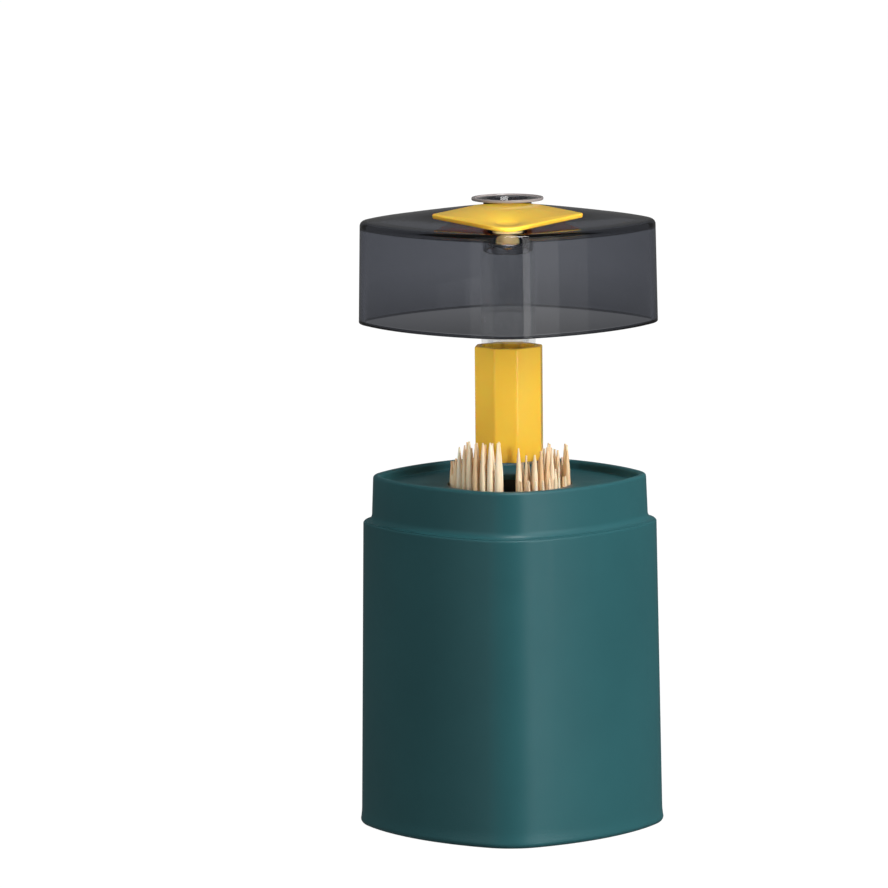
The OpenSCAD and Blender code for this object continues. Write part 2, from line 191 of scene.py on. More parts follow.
def loft(rings, loop=False):
    """Vertices and faces of a skin through rings that have the same number of points."""
    n, m = len(rings[0]), len(rings)
    verts = [p for r in rings for p in r]
    faces = []
    for k in range(m if loop else m - 1):
        a, b = k * n, ((k + 1) % m) * n
        faces += [(a + i, a + (i + 1) % n, b + (i + 1) % n, b + i) for i in range(n)]
    if not loop:
        faces += [tuple(range(n))[::-1], tuple(range((m - 1) * n, m * n))]
    return verts, faces


def lathe(profile, steps=128):
    """A closed profile of (radius, z) turned about Z. Points on the axis become one vertex."""
    verts, faces, rows = [], [], []
    for r, z in profile:
        if r < AXIS:
            rows.append([len(verts)] * steps)
            verts.append((0, 0, z))
        else:
            rows.append([len(verts) + i for i in range(steps)])
            verts += [(r * cos(2 * pi * i / steps), r * sin(2 * pi * i / steps), z)
                      for i in range(steps)]
    m = len(rows)
    for k in range(m):
        a, b = rows[k], rows[(k + 1) % m]
        for i in range(steps):
            j = (i + 1) % steps
            face = []
            for v in (a[i], a[j], b[j], b[i]):
                if v not in face:
                    face.append(v)
            if len(face) > 2:
                faces.append(tuple(face))
    return verts, faces


def rounded(profile, steps=3):
    """A closed profile with its corners, each (x, z, radius), rounded.

    Points on the axis stay as they are and need no radius.
    """
    points = []
    m = len(profile)
    for k in range(m):
        p = profile[k]
        q = Vector(p[:2])
        radius = p[2] if len(p) > 2 else 0
        to_last = Vector(profile[k - 1][:2]) - q
        to_next = Vector(profile[(k + 1) % m][:2]) - q
        if radius <= 0 or q.x < AXIS:
            points.append((q.x, q.y))
            continue
        half = to_last.angle(to_next) / 2
        cut = min(radius / tan(half), 0.45 * to_last.length, 0.45 * to_next.length)
        a, b = q + to_last.normalized() * cut, q + to_next.normalized() * cut
        for i in range(steps + 1):
            t = i / steps
            # a quadratic curve through the corner's two cuts
            c = a * (1 - t) ** 2 + q * 2 * t * (1 - t) + b * t ** 2
            points.append((c.x, c.y))
    return points


def block(x0, x1, y0, y1, z0, z1, turn=0.0):
    """Vertices and faces of a box, turned about Z by so many degrees."""
    c, s = cos(rad(turn)), sin(rad(turn))
    verts = [(x * c - y * s, x * s + y * c, z)
             for z in (z0, z1) for x, y in ((x0, y0), (x1, y0), (x1, y1), (x0, y1))]
    sides = [(i, (i + 1) % 4, 4 + (i + 1) % 4, 4 + i) for i in range(4)]
    return verts, [(3, 2, 1, 0), (4, 5, 6, 7)] + sides


# ---- making objects ---------------------------------------------------------
def mesh_object(name, verts, faces, place=None):
    """An object from vertices in mm, moved by a matrix in mm, with its normals outwards."""
    mesh = bpy.data.meshes.new(name)
    mesh.from_pydata([tuple(c * MM for c in v) for v in verts], [], faces)
    if place is not None:
        moved = place.copy()
        moved.translation = moved.translation * MM
        mesh.transform(moved)
    work = bmesh.new()
    work.from_mesh(mesh)
    bmesh.ops.remove_doubles(work, verts=work.verts, dist=1e-7)
    bmesh.ops.recalc_face_normals(work, faces=work.faces)
    work.to_mesh(mesh)
    work.free()
    obj = bpy.data.objects.new(name, mesh)
    scene.collection.objects.link(obj)
    return obj


def boolean(obj, other, operation):
    """Applies a boolean with another object, which is then removed."""
    modifier = obj.modifiers.new("cut", "BOOLEAN")
    modifier.operation = operation
    modifier.solver = "EXACT"
    modifier.object = other
    graph = bpy.context.evaluated_depsgraph_get()
    result = bpy.data.meshes.new_from_object(obj.evaluated_get(graph))
    obj.modifiers.clear()
    obj.data = result
    bpy.data.objects.remove(other)


def dress(obj, body, node, material, sharp=32):
    """Gives smooth shading, the material and the body, and hides the CAD node that it stands for.
    """
    mesh = obj.data
    mesh.materials.clear()
    mesh.materials.append(material)
    mesh.polygons.foreach_set("use_smooth", [True] * len(mesh.polygons))
    mesh.set_sharp_from_angle(angle=rad(sharp))
    mesh.update()
    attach(obj, body)
    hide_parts(node)


# ---- materials --------------------------------------------------------------
# share of a lamp's light that each face of smoked plastic passes
LAMP_SHARE = 0.94
# painted highlight for the flange's rim: this pale colour stands in for reflected light
PAINTED_RIM_HIGHLIGHT = (0.36, 0.32, 0.31, 1)


class Nodes:
    """A short way to write a material's node tree."""

    def __init__(self, name):
        self.material = bpy.data.materials.new(name)
        self.material.use_nodes = True
        self.tree = self.material.node_tree
        self.shader = self.tree.nodes["Principled BSDF"]
        self.output = self.tree.nodes["Material Output"]

    def add(self, kind, **sockets):
        """A node with its properties and sockets set; an underscore stands for a space."""
        node = self.tree.nodes.new(kind)
        for key, value in sockets.items():
            if hasattr(node, key):
                setattr(node, key, value)
            else:
                node.inputs[key.replace("_", " ")].default_value = value
        return node

    def link(self, a, b):
        self.tree.links.new(a, b)

    def set(self, **sockets):
        """Numbers and colours on the shader's own sockets."""
        for key, value in sockets.items():
            self.shader.inputs[key.replace("_", " ")].default_value = value

    def coords(self, scale=(1, 1, 1)):
        """Object coordinates in metres, scaled."""
        source = self.add("ShaderNodeTexCoord")
        mapping = self.add("ShaderNodeMapping", Scale=scale)
        self.link(source.outputs["Object"], mapping.inputs["Vector"])
        return mapping.outputs["Vector"]

    def noise(self, vector, scale, detail=3.0, roughness=0.55):
        """Soft noise from 0 to 1; the scale counts its patches to the metre."""
        node = self.add("ShaderNodeTexNoise", Scale=scale, Detail=detail, Roughness=roughness)
        self.link(vector, node.inputs["Vector"])
        return node.outputs["Fac"]

    def ramp(self, value, stops):
        """Colours by value, from stops of (position, colour)."""
        node = self.add("ShaderNodeValToRGB")
        elements = node.color_ramp.elements
        while len(elements) < len(stops):
            elements.new(0.5)
        for element, (at, color) in zip(elements, stops):
            element.position = at
            element.color = (*color, 1)
        self.link(value, node.inputs["Fac"])
        return node.outputs["Color"]

    def between(self, value, low, high, from_min=0.3, from_max=0.7):
        """The value mapped to low and high, and held there."""
        node = self.add("ShaderNodeMapRange")
        for key, number in (("From Min", from_min), ("From Max", from_max),
                            ("To Min", low), ("To Max", high)):
            node.inputs[key].default_value = number
        self.link(value, node.inputs["Value"])
        return node.outputs["Result"]

    def lets_light_in(self):
        """Light from the lamps passes straight through, as refraction alone would stop it."""
        paths = self.add("ShaderNodeLightPath")
        clear = self.add("ShaderNodeBsdfTransparent", Color=(*[LAMP_SHARE] * 3, 1))
        mix = self.add("ShaderNodeMixShader")
        self.link(paths.outputs["Is Shadow Ray"], mix.inputs[0])
        self.link(self.shader.outputs[0], mix.inputs[1])
        self.link(clear.outputs[0], mix.inputs[2])
        self.link(mix.outputs[0], self.output.inputs["Surface"])

    def bump(self, height, strength, distance):
        """Fine relief; the distance is in metres."""
        node = self.add("ShaderNodeBump", Strength=strength, Distance=distance)
        self.link(height, node.inputs["Height"])
        self.link(node.outputs["Normal"], self.shader.inputs["Normal"])


def satin_plastic(name, dark, light, rough):
    """Moulded plastic with a fine spark texture and faint cloudiness."""
    n = Nodes(name)
    vector = n.coords()
    cloud = n.noise(vector, 28, 4)
    n.link(n.ramp(cloud, [(0.3, dark), (0.7, light)]), n.shader.inputs["Base Color"])
    fine = n.noise(vector, 3400, 3, 0.6)
    wear = n.noise(vector, 160, 5)
    n.link(n.between(wear, rough - 0.03, rough + 0.04), n.shader.inputs["Roughness"])
    n.set(IOR=1.5)
    n.bump(fine, 0.16, 0.00012)
    return n.material


def clear_plastic(name, tint_low, tint_high, rough, ior, alpha):
    """Thin polished plastic, so clear that mostly its edges and highlights show."""
    n = Nodes(name)
    vector = n.coords()
    cloud = n.noise(vector, 22, 2)
    n.link(n.ramp(cloud, [(0.3, tint_low), (0.7, tint_high)]), n.shader.inputs["Base Color"])
    smear = n.noise(vector, 60, 4)
    n.link(n.between(smear, rough, rough + 0.03), n.shader.inputs["Roughness"])
    n.set(IOR=ior, Transmission_Weight=1.0, Alpha=alpha)
    return n.material


def smoked_plastic(name, passed, wall, rough=0.02, highlight_r=None):
    """Polished plastic that passes a given share of red, green and blue through a wall in mm.

    Past a radius given in mm, its edge is painted pale and made less clear: a painted highlight
    that stands in for the light its rim faces reflect.
    """
    n = Nodes(name)
    n.set(IOR=1.5, Transmission_Weight=1.0)
    vector = n.coords()
    tint = n.ramp(n.noise(vector, 22, 2), [(0.3, (0.95,) * 3), (0.7, (0.99,) * 3)])
    # painted highlight at the edge: paler and less clear past that radius
    if highlight_r:
        reach = n.add("ShaderNodeVectorMath", operation="LENGTH")
        n.link(n.coords((1, 1, 0)), reach.inputs[0])
        blur = 0.15
        highlight_mask = n.between(reach.outputs["Value"], 0, 1, (highlight_r - blur) * MM, highlight_r * MM)
        mix = n.add("ShaderNodeMix", data_type="RGBA")
        n.link(highlight_mask, mix.inputs["Factor"])
        n.link(tint, mix.inputs[6])
        # the pale colour here is a painted highlight, not scuffing
        mix.inputs[7].default_value = PAINTED_RIM_HIGHLIGHT
        tint = mix.outputs[2]
        n.link(n.between(highlight_mask, 1.0, 0.2, 0, 1), n.shader.inputs["Transmission Weight"])
    n.link(tint, n.shader.inputs["Base Color"])
    n.link(n.between(n.noise(vector, 60, 4), rough, rough + 0.03), n.shader.inputs["Roughness"])
    n.bump(n.noise(n.coords((1, 1, 0.25)), 90, 2), 0.03, 0.0002)
    # absorption to the metre; the node's colour is what its density leaves of each channel
    loss = [-math.log(share) / (wall * MM) for share in passed]
    density = max(loss) * 1.2
    inside = n.add("ShaderNodeVolumeAbsorption", Density=density,
                   Color=(*(1 - part / density for part in loss), 1))
    n.link(inside.outputs["Volume"], n.output.inputs["Volume"])
    n.lets_light_in()
    return n.material


def gloss_plastic(name, dark, light, rough=0.16):
    """Glossy moulded plastic that light enters a little."""
    n = Nodes(name)
    vector = n.coords()
    cloud = n.noise(vector, 35, 3)
    n.link(n.ramp(cloud, [(0.3, dark), (0.7, light)]), n.shader.inputs["Base Color"])
    wear = n.noise(vector, 240, 4)
    n.link(n.between(wear, rough - 0.03, rough + 0.05), n.shader.inputs["Roughness"])
    n.set(IOR=1.52, Subsurface_Weight=0.3, Subsurface_Scale=0.004,
          Coat_Weight=0.25, Coat_Roughness=0.06)
    n.bump(n.noise(vector, 900, 3), 0.05, 0.0001)
    return n.material


def metal(name, dark, light, rough, brushed=(1, 1, 1)):
    """Plated metal with a fine grain, stretched by the scale it is brushed with."""
    n = Nodes(name)
    grain = n.noise(n.coords(brushed), 900, 4)
    n.link(n.ramp(grain, [(0.3, dark), (0.7, light)]), n.shader.inputs["Base Color"])
    n.link(n.between(grain, rough - 0.06, rough + 0.08), n.shader.inputs["Roughness"])
    n.set(Metallic=1.0)
    n.bump(grain, 0.06, 0.0001)
    return n.material


def pick_wood():
    """Pale birch or bamboo with long grain, and a tone of its own for each pick."""
    n = Nodes("pick_wood")
    tone = n.add("ShaderNodeAttribute", attribute_name="tone")
    vector = n.coords((1, 1, 0.035))
    shift = n.add("ShaderNodeVectorMath", operation="MULTIPLY_ADD")
    n.link(tone.outputs["Vector"], shift.inputs[0])
    shift.inputs[1].default_value = (0.7, 0.9, 0.3)
    n.link(vector, shift.inputs[2])
    grain = n.noise(shift.outputs["Vector"], 2600, 5, 0.65)
    streak = n.noise(shift.outputs["Vector"], 620, 3)
    base = n.ramp(tone.outputs["Fac"], [(0.0, (0.82, 0.57, 0.33)), (0.3, (0.92, 0.7, 0.45)),
                                        (0.65, (0.97, 0.81, 0.59)), (1.0, (0.99, 0.9, 0.72))])
    fibre = n.ramp(grain, [(0.32, (0.86, 0.8, 0.72)), (0.62, (1, 1, 1))])
    band = n.ramp(streak, [(0.3, (0.94, 0.89, 0.83)), (0.6, (1, 1, 1))])
    product = base
    for factor in (fibre, band):
        mix = n.add("ShaderNodeMix", data_type="RGBA", blend_type="MULTIPLY")
        mix.inputs["Factor"].default_value = 1.0
        n.link(product, mix.inputs[6])
        n.link(factor, mix.inputs[7])
        product = mix.outputs[2]
    n.link(product, n.shader.inputs["Base Color"])
    n.link(n.between(grain, 0.5, 0.72), n.shader.inputs["Roughness"])
    n.set(IOR=1.45, Subsurface_Weight=0.12, Subsurface_Scale=0.0008)
    n.bump(grain, 0.35, 0.00012)
    return n.material


GREEN = satin_plastic("green_plastic", (0.0165, 0.081, 0.0905), (0.0195, 0.093, 0.1035), 0.42)
DARK = satin_plastic("dark_plastic", (0.006, 0.011, 0.012), (0.008, 0.015, 0.016), 0.5)
SMOKE = smoked_plastic("smoked_clear", (0.49, 0.505, 0.55), 2.27)
CLEAR = clear_plastic("clear_plastic", (0.95, 0.97, 0.97), (0.99, 0.995, 0.995),
                      rough=0.015, ior=1.3, alpha=0.22)
# the flange's rim carries a painted highlight
BLACK_CLEAR = smoked_plastic("dark_clear", (0.52, 0.49, 0.53), 2.0, 0.03,
                             highlight_r=FLANGE_R - RIM_W - 0.05)
YELLOW = gloss_plastic("yellow_plastic", (0.86, 0.495, 0.045), (0.89, 0.53, 0.054))
CREAM = gloss_plastic("cream_plastic", (0.93, 0.56, 0.21), (0.97, 0.63, 0.28), 0.22)
STEEL = metal("steel", (0.38, 0.38, 0.39), (0.56, 0.56, 0.57), 0.28, (1, 1, 6))
BRASS = metal("brass", (0.72, 0.48, 0.16), (0.86, 0.63, 0.28), 0.24)
WOOD = pick_wood()


# ---- casing -----------------------------------------------------------------
def make_casing():
    """The outer shell, open at the bottom, with a rebate for the base plate."""
    foot_half = BASE_HALF + FOOT_FLARE
    rings = round_rings(foot_half - FOOT_ROUND, FOOT_ROUND, FOOT_ROUND, -90, 0, 8)
    flare_steps = 6
    for i in range(1, flare_steps + 1):
        z = FOOT_ROUND + (FLARE_H - FOOT_ROUND) * i / flare_steps
        rings.append(ring(BASE_HALF + FOOT_FLARE * (1 - i / flare_steps) ** 2, z))
    high = SHOULDER_Z - RIM_ROUND
    rings += wall_rings(BASE_HALF, FLARE_H, HALF_W, high, (0.02, 0.25, 0.5, 0.75, 0.98, 0.996))
    rings += round_rings(HALF_W - RIM_ROUND, high, RIM_ROUND, 0, 90, 5)
    rings += [ring(HALF_W - CASING_WALL, SHOULDER_Z),
              ring(BASE_HALF - CASING_WALL, REBATE_H),
              ring(BASE_HALF - REBATE_WALL, REBATE_H),
              ring(BASE_HALF - REBATE_WALL, 0)]
    return mesh_object("casing_shell", *loft(rings, loop=True))


dress(make_casing(), "holder", "casing", GREEN)


# ---- base plate -------------------------------------------------------------
def make_base_plate():
    """The plate in the casing's foot, with what stands on it rooted in it."""
    half = BASE_HALF - REBATE_WALL - FIT_GAP
    rings = [ring(half - BASE_EDGE, 0), ring(half - 0.3 * BASE_EDGE, 0.3 * BASE_EDGE),
             ring(half, BASE_EDGE), ring(half, BASE_T)]
    plate = mesh_object("base_plate_skin", *loft(rings))
    root_z = BASE_T - ROOT
    # the ring, ribs and lugs that stand on it, joined as separate closed shells
    parts = [lathe([(RING_R, root_z), (RING_R, CUP_BOTTOM),
                    (RING_R - RIB_T, CUP_BOTTOM), (RING_R - RIB_T, root_z)], 96)]
    lug_half = BASE_HALF - CASING_WALL - FIT_GAP
    for q in range(4):
        parts.append(block(lug_half - 2 * RIB_T, lug_half - 0.4 * RIB_T, -LUG_W / 2, LUG_W / 2,
                           root_z, BASE_T + LUG_H, 45 + 90 * q))
    for a in (45, 135):
        parts.append(block(-RING_R + RIB_T, RING_R - RIB_T, -RIB_T / 2, RIB_T / 2,
                           root_z, CUP_BOTTOM - CUP_SPIGOT - FIT_GAP, a))
    work = bmesh.new()
    work.from_mesh(plate.data)
    for verts, faces in parts:
        made = [work.verts.new([c * MM for c in v]) for v in verts]
        for face in faces:
            work.faces.new([made[i] for i in face])
    bmesh.ops.recalc_face_normals(work, faces=work.faces)
    work.to_mesh(plate.data)
    work.free()
    return plate


dress(make_base_plate(), "holder", "base_plate", GREEN)


# ---- neck and top panel -----------------------------------------------------
def make_neck():
    """Neck, top panel with the well's mouth, and the skirt that drops into the casing."""
    skirt_half = HALF_W - CASING_WALL - FIT_GAP
    fillet_half = NECK_HALF + NECK_FILLET
    top_half = NECK_HALF - NECK_DRAFT
    inner_half = top_half - NECK_WALL
    inner_lip = (NECK_WALL - NECK_LIP) * 0.8
    flange_z = SHOULDER_Z + FLANGE_EDGE
    fillet, mouth = PANEL_FILLET, MOUTH_ROUND
    rings = [crown_ring(inner_half, WELL_R, 1, PANEL_Z - PANEL_T + 0.6),
             crown_ring(inner_half, WELL_R, 1, PANEL_Z - mouth)]
    rings += [crown_ring(inner_half, WELL_R + mouth + x, 1, PANEL_Z - mouth + z)
              for x, z in round_steps(mouth, 150, 90, 2)]
    for t in (0.8, 0.55, 0.3, 0.12):
        rings.append(crown_ring(inner_half - fillet, WELL_R, t, PANEL_Z))
    rings += round_rings(inner_half - fillet, PANEL_Z + fillet, fillet, -90, 0, 4)
    rings += round_rings(inner_half + inner_lip, NECK_TOP - inner_lip, inner_lip, 180, 90, 6)
    rings += round_rings(top_half - NECK_LIP, NECK_TOP - NECK_LIP, NECK_LIP, 90, 0, 8)
    rings += wall_rings(top_half, NECK_TOP - NECK_LIP, NECK_HALF, flange_z + NECK_FILLET,
                        (0.03, 0.5, 0.97))
    rings += round_rings(fillet_half, flange_z + NECK_FILLET, NECK_FILLET, 180, 270, 9)
    edge = 0.12
    rings += [ring(fillet_half + edge, flange_z - edge / 2),
              ring(fillet_half + edge, SHOULDER_Z),
              ring(skirt_half, SHOULDER_Z),
              ring(skirt_half, SHOULDER_Z - SKIRT_H),
              ring(skirt_half - NECK_WALL, SHOULDER_Z - SKIRT_H),
              ring(inner_half - 0.3, PANEL_Z - PANEL_T),
              crown_ring(inner_half, CUP_R + FIT_GAP, 1, PANEL_Z - PANEL_T),
              crown_ring(inner_half, CUP_R + FIT_GAP, 1, CUP_TOP),
              crown_ring(inner_half, WELL_R, 1, CUP_TOP)]
    return mesh_object("neck_and_panel", *loft(rings, loop=True))


dress(make_neck(), "holder", "neck_insert", GREEN)

# ---- well cup ---------------------------------------------------------------
cup = mesh_object("well_cup", *lathe(rounded([
    (0, CUP_BOTTOM - CUP_SPIGOT), (RING_R - RIB_T - FIT_GAP, CUP_BOTTOM - CUP_SPIGOT, 0.3),
    (RING_R - RIB_T - FIT_GAP, CUP_BOTTOM, 0), (CUP_R, CUP_BOTTOM, 0.8),
    (CUP_R, CUP_TOP, 0.2), (WELL_R, CUP_TOP, 0.2), (WELL_R, FLOOR_Z, 1.0), (0, FLOOR_Z)])))
dress(cup, "holder", "pick_cup", DARK)


# ---- toothpicks -------------------------------------------------------------
def islands(mesh):
    """The lowest and highest corner of each separate solid of a mesh, in mm."""
    parent = list(range(len(mesh.vertices)))

    def root(a):
        while parent[a] != a:
            parent[a] = parent[parent[a]]
            a = parent[a]
        return a

    seen = {}
    for v in mesh.vertices:
        key = tuple(round(c, 7) for c in v.co)
        parent[v.index] = seen.setdefault(key, v.index)
    for edge in mesh.edges:
        a, b = (root(i) for i in edge.vertices)
        if a != b:
            parent[b] = a
    boxes = {}
    for v in mesh.vertices:
        p = v.co / MM
        low, high = boxes.setdefault(root(v.index), (p.copy(), p.copy()))
        for k in range(3):
            low[k], high[k] = min(low[k], p[k]), max(high[k], p[k])
    return [boxes[k] for k in sorted(boxes, key=lambda b: tuple(round(c, 3) for c in boxes[b][0]))]


def pick_mesh(low, high, rng, steps=18):
    """One pick: slightly out of round, leaning a little, with hand-sharpened points."""
    x, y = (low.x + high.x) / 2, (low.y + high.y) / 2
    r = (high.x - low.x) / 2 * rng.uniform(0.93, 1.0)
    length = high.z - low.z
    taper = rng.uniform(7.5, 11.0)
    sharp = rng.uniform(0.2, 0.36)
    blunt = rng.uniform(0.62, 0.9)
    squash, turn = rng.uniform(0.93, 1.0), rng.uniform(0, pi)
    lean_x, lean_y = rng.uniform(-0.0035, 0.0035), rng.uniform(-0.0035, 0.0035)
    stations = [(0, 0.12), (0.6, 0.35), (2.2, 0.66), (4.5, 0.92), (6.5, 1.0), (20, 1.0),
                (38, 1.0), (length - taper - 3, 1.0)]
    for i in range(1, 11):
        t = i / 10
        stations.append((length - taper + taper * t,
                         max(sharp, (1 - t) ** (0.75 * blunt) * (1 + 0.12 * t))))
    rings = []
    for z, k in stations:
        wobble = 1 + 0.02 * sin(z * 0.9 + turn * 7)
        points = []
        for i in range(steps):
            a = 2 * pi * i / steps
            u, v = r * k * wobble * cos(a), r * k * wobble * squash * sin(a)
            px = u * cos(turn) - v * sin(turn)
            py = u * sin(turn) + v * cos(turn)
            points.append((x + px + lean_x * (z - length / 2), y + py + lean_y * (z - length / 2),
                           low.z + z))
        rings.append(points)
    return loft(rings)


def height_wish(x, y, side, rng):
    """How high a pick should stand among its bundle, as in the photograph.

    The front ones are tall at the left, and short at the right.
    """
    front = max(0.0, min(1.0, (-y - 2) / 9))
    if side < 0:
        return 0.35 + 0.75 * front + 0.02 * y * (y > 0) + rng.uniform(-0.28, 0.2)
    # only the outermost ones are short there
    outer = math.hypot(x, y) > WELL_R - 2.6
    return 0.6 + 0.3 * front - 0.75 * front * outer + rng.uniform(-0.3, 0.3)


# a wish past this is a tall pick, which the photograph shows higher by so many mm
TALL, TALL_LIFT = 0.8, 2.2


def make_picks(node, seed, side):
    """A bundle of picks, each in the place of one of the model's; side is -1 at the left."""
    rng = random.Random(seed)
    verts, faces, tones = [], [], []
    # the same heights as the model's, dealt out again among the loose picks
    boxes = islands(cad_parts[node].data)
    wishes = sorted((height_wish(low.x, low.y, side, rng), i) for i, (low, _) in enumerate(boxes))
    heights = sorted((low.z, high.z) for low, high in boxes)
    for (wish, i), (bottom, top) in zip(wishes, heights):
        lift = TALL_LIFT if side < 0 and wish > TALL else 0.0
        boxes[i][0].z, boxes[i][1].z = bottom + lift, top + lift
    for low, high in boxes:
        pick_verts, pick_faces = pick_mesh(low, high, rng)
        start = len(verts)
        verts += pick_verts
        faces += [tuple(start + i for i in face) for face in pick_faces]
        tones += [rng.random()] * len(pick_verts)
    picks = mesh_object(node + "_wood", verts, faces)
    tone = picks.data.attributes.new("tone", "FLOAT", "POINT")
    tone.data.foreach_set("value", tones)
    dress(picks, "holder", node, WOOD, 50)


make_picks("toothpicks_left", 7, -1)
make_picks("toothpicks_right", 19, 1)


# ---- cap --------------------------------------------------------------------
def crown_z(t):
    """Height of the crown above the cap's lower edge, t of the way to the plateau."""
    return CAP_H + CROWN_H * (t + CROWN_BULGE * t * (1 - t))


def drill(obj, r, low, high, place, steps=96):
    """A round hole between two heights at that place."""
    tool = mesh_object("tool", *lathe([(0, low), (r, low), (r, high), (0, high)], steps), place)
    boolean(obj, tool, "DIFFERENCE")


def make_cap():
    """The smoked shell with its crown, the pivot's boss, and the holes for core and outlet."""
    top_half = CAP_TOP_HALF - CAP_ROUND
    inner_top, inner_half = CAP_TOP_HALF - CAP_WALL, CAP_HALF - CAP_WALL
    under_half = inner_top - CAP_INNER_ROUND
    shares = (0.004, 0.03, 0.5, 0.97, 0.996)
    # down the inside, round the lower edge, up the outside and over the crown
    rings = []
    for t in (1, 0.93, 0.85, 0.7, 0.5, 0.3, 0.15, 0.05):
        wall = CROWN_EDGE_WALL + (CAP_WALL - CROWN_EDGE_WALL) * t * t
        rings.append(crown_ring(under_half, PLATEAU_R, t, crown_z(t) - wall))
    high = CAP_H - CROWN_EDGE_WALL - CAP_INNER_ROUND
    rings += round_rings(under_half, high, CAP_INNER_ROUND, 80, 0, 6)
    rings += wall_rings(inner_top, high, inner_half, CAP_FOOT_CUT, shares)
    rings += [ring(inner_half + out, z)
              for out, z in ((0, CAP_FOOT_CUT), (0.15, 0.32), (0.32, 0.08), (0.5, 0))]
    rings += round_rings(CAP_HALF - CAP_FOOT_ROUND, CAP_FOOT_ROUND, CAP_FOOT_ROUND, -90, 0, 5)
    high = CAP_H - CAP_ROUND
    rings += wall_rings(CAP_HALF, CAP_FOOT_ROUND, CAP_TOP_HALF, high, shares)
    rings += round_rings(top_half, high, CAP_ROUND, 0, 81, 8)
    for t in (0.05, 0.15, 0.3, 0.5, 0.7, 0.85, 1):
        rings.append(crown_ring(top_half, PLATEAU_R, t, crown_z(t)))
    rings = [[(x, y, z + CAP_Z) for x, y, z in r] for r in rings]
    cap = mesh_object("cap_shell_skin", *loft(rings))

    boss_edge, pad_edge = 0.3, 0.1
    boss = [(0, -BOSS_DROP), (BOSS_R - boss_edge, -BOSS_DROP), (BOSS_R, -BOSS_DROP + boss_edge),
            (BOSS_R, -PAD_RISE), (PAD_R, -PAD_RISE), (PAD_R, -PAD_GAP - pad_edge),
            (PAD_R - pad_edge, -PAD_GAP), (0, -PAD_GAP)]
    boolean(cap, mesh_object("tool", *lathe(boss, 96), AT_PIVOT), "UNION")
    # the pin's bore, and from below the counterbore for washer and screw
    bore, counter, past_top = PIN_R + RUNNING_GAP, WASHER_R + WASHER_GAP, 2
    bores = [(0, -BOSS_DROP - 1), (counter, -BOSS_DROP - 1), (counter, -LEDGE_DROP),
             (bore, -LEDGE_DROP), (bore, past_top), (0, past_top)]
    boolean(cap, mesh_object("tool", *lathe(bores, 96), AT_PIVOT), "DIFFERENCE")
    low, high = CAP_H - CAP_WALL, CROWN_Z + CAP_WALL
    drill(cap, SPIGOT_R + FIT_GAP, low, high, Matrix.Translation((0, 0, CAP_Z)))
    drill(cap, OUTLET_R, low, high, Matrix.Translation((0, -OUTLET_OFF, CAP_Z)), 64)
    return cap


dress(make_cap(), "cap", "cap_shell", SMOKE, 30)

# ---- core -------------------------------------------------------------------
tube = mesh_object("core_tube_skin", *lathe(rounded([
    (0, SLEEVE_BOTTOM - LIP_T), (LIP_R, SLEEVE_BOTTOM - LIP_T, 0.25),
    (LIP_R, SLEEVE_BOTTOM, 0.05), (TUBE_R, SLEEVE_BOTTOM, 0),
    (TUBE_R, CEILING_Z - HEAD_T - 1, 0.3), (HEAD_R, CEILING_Z - HEAD_T, 0.15),
    (HEAD_R, CEILING_Z, 0.05), (TUBE_R - TUBE_WALL, CEILING_Z, 0.05),
    (TUBE_R - TUBE_WALL, SLEEVE_BOTTOM + 1, 0.4), (0, SLEEVE_BOTTOM + 1)])))
dress(tube, "cap", "core_tube", CLEAR)


def make_sleeve():
    """The sleeve, a square with cut corners, with small rounds on its edges."""
    # the corner between a narrow side, square to an axis, and a wide one at 45 degrees
    wide, narrow = SLEEVE_SIDES / 2, SLEEVE_FLATS / 2
    corner = Vector((narrow, wide * math.sqrt(2) - narrow))
    inward = SLEEVE_ROUND / cos(rad(22.5))

    def oct_ring(inset, z):
        """A ring of the octagon, drawn in by the inset."""
        points = []
        for k in range(8):
            # corners alternate left and right of each narrow side
            middle = 22.5 + 45 * k
            side = 90 * ((k + 1) // 2)
            sign = 1 if k % 2 == 0 else -1
            c, t = cos(rad(side)), sin(rad(side))
            x, y = corner.x, corner.y * sign
            px, py = x * c - y * t, x * t + y * c
            cx, cy = px - inward * cos(rad(middle)), py - inward * sin(rad(middle))
            points += arc(cx, cy, SLEEVE_ROUND - inset, middle - 22.5, middle + 22.5, 6, True)
        c, t = cos(rad(SLEEVE_TURN)), sin(rad(SLEEVE_TURN))
        return [(x * c - y * t, x * t + y * c, z) for x, y in points]

    def bore_ring(z):
        """A ring of the round bore, its points in line with the octagon's."""
        bore = TUBE_R + FIT_GAP / 2
        return [(x * bore / math.hypot(x, y), y * bore / math.hypot(x, y), z)
                for x, y, _ in oct_ring(0, z)]

    z0, z1 = SLEEVE_BOTTOM, SLEEVE_TOP
    edge = [(SLEEVE_EDGE * inset, SLEEVE_EDGE * up) for inset, up in ((1, 0), (0.3, 0.3), (0, 1))]
    rings = [oct_ring(inset, z0 + up) for inset, up in edge]
    rings += [oct_ring(inset, z1 - down) for inset, down in reversed(edge)]
    rings += [bore_ring(z1), bore_ring(z0)]
    return mesh_object("core_sleeve_skin", *loft(rings, loop=True))


dress(make_sleeve(), "cap", "core_sleeve", YELLOW, 28)

seat_z, top_z = CAP_Z + CROWN_Z, FLANGE_Z + FLANGE_T
dish_z = top_z - DISH_DEPTH
core_cap = mesh_object("core_cap_skin", *lathe(rounded([
    (0, seat_z - PLUG_L), (SPIGOT_R, seat_z - PLUG_L, 0.4), (SPIGOT_R, seat_z, 0),
    (STEM_R, seat_z, 0), (STEM_R, FLANGE_Z, 0.2), (FLANGE_R, FLANGE_Z, 0.2),
    (FLANGE_R, top_z, 0.2), (FLANGE_R - RIM_W + 0.25, top_z, 0.15),
    (FLANGE_R - RIM_W, dish_z, 0.2), (STEM_R - 0.8, dish_z, 0.3),
    (STEM_R - 1.8, dish_z - 1.3, 0.4), (0, dish_z - 1.7)])))
dress(core_cap, "cap", "core_cap", BLACK_CLEAR)


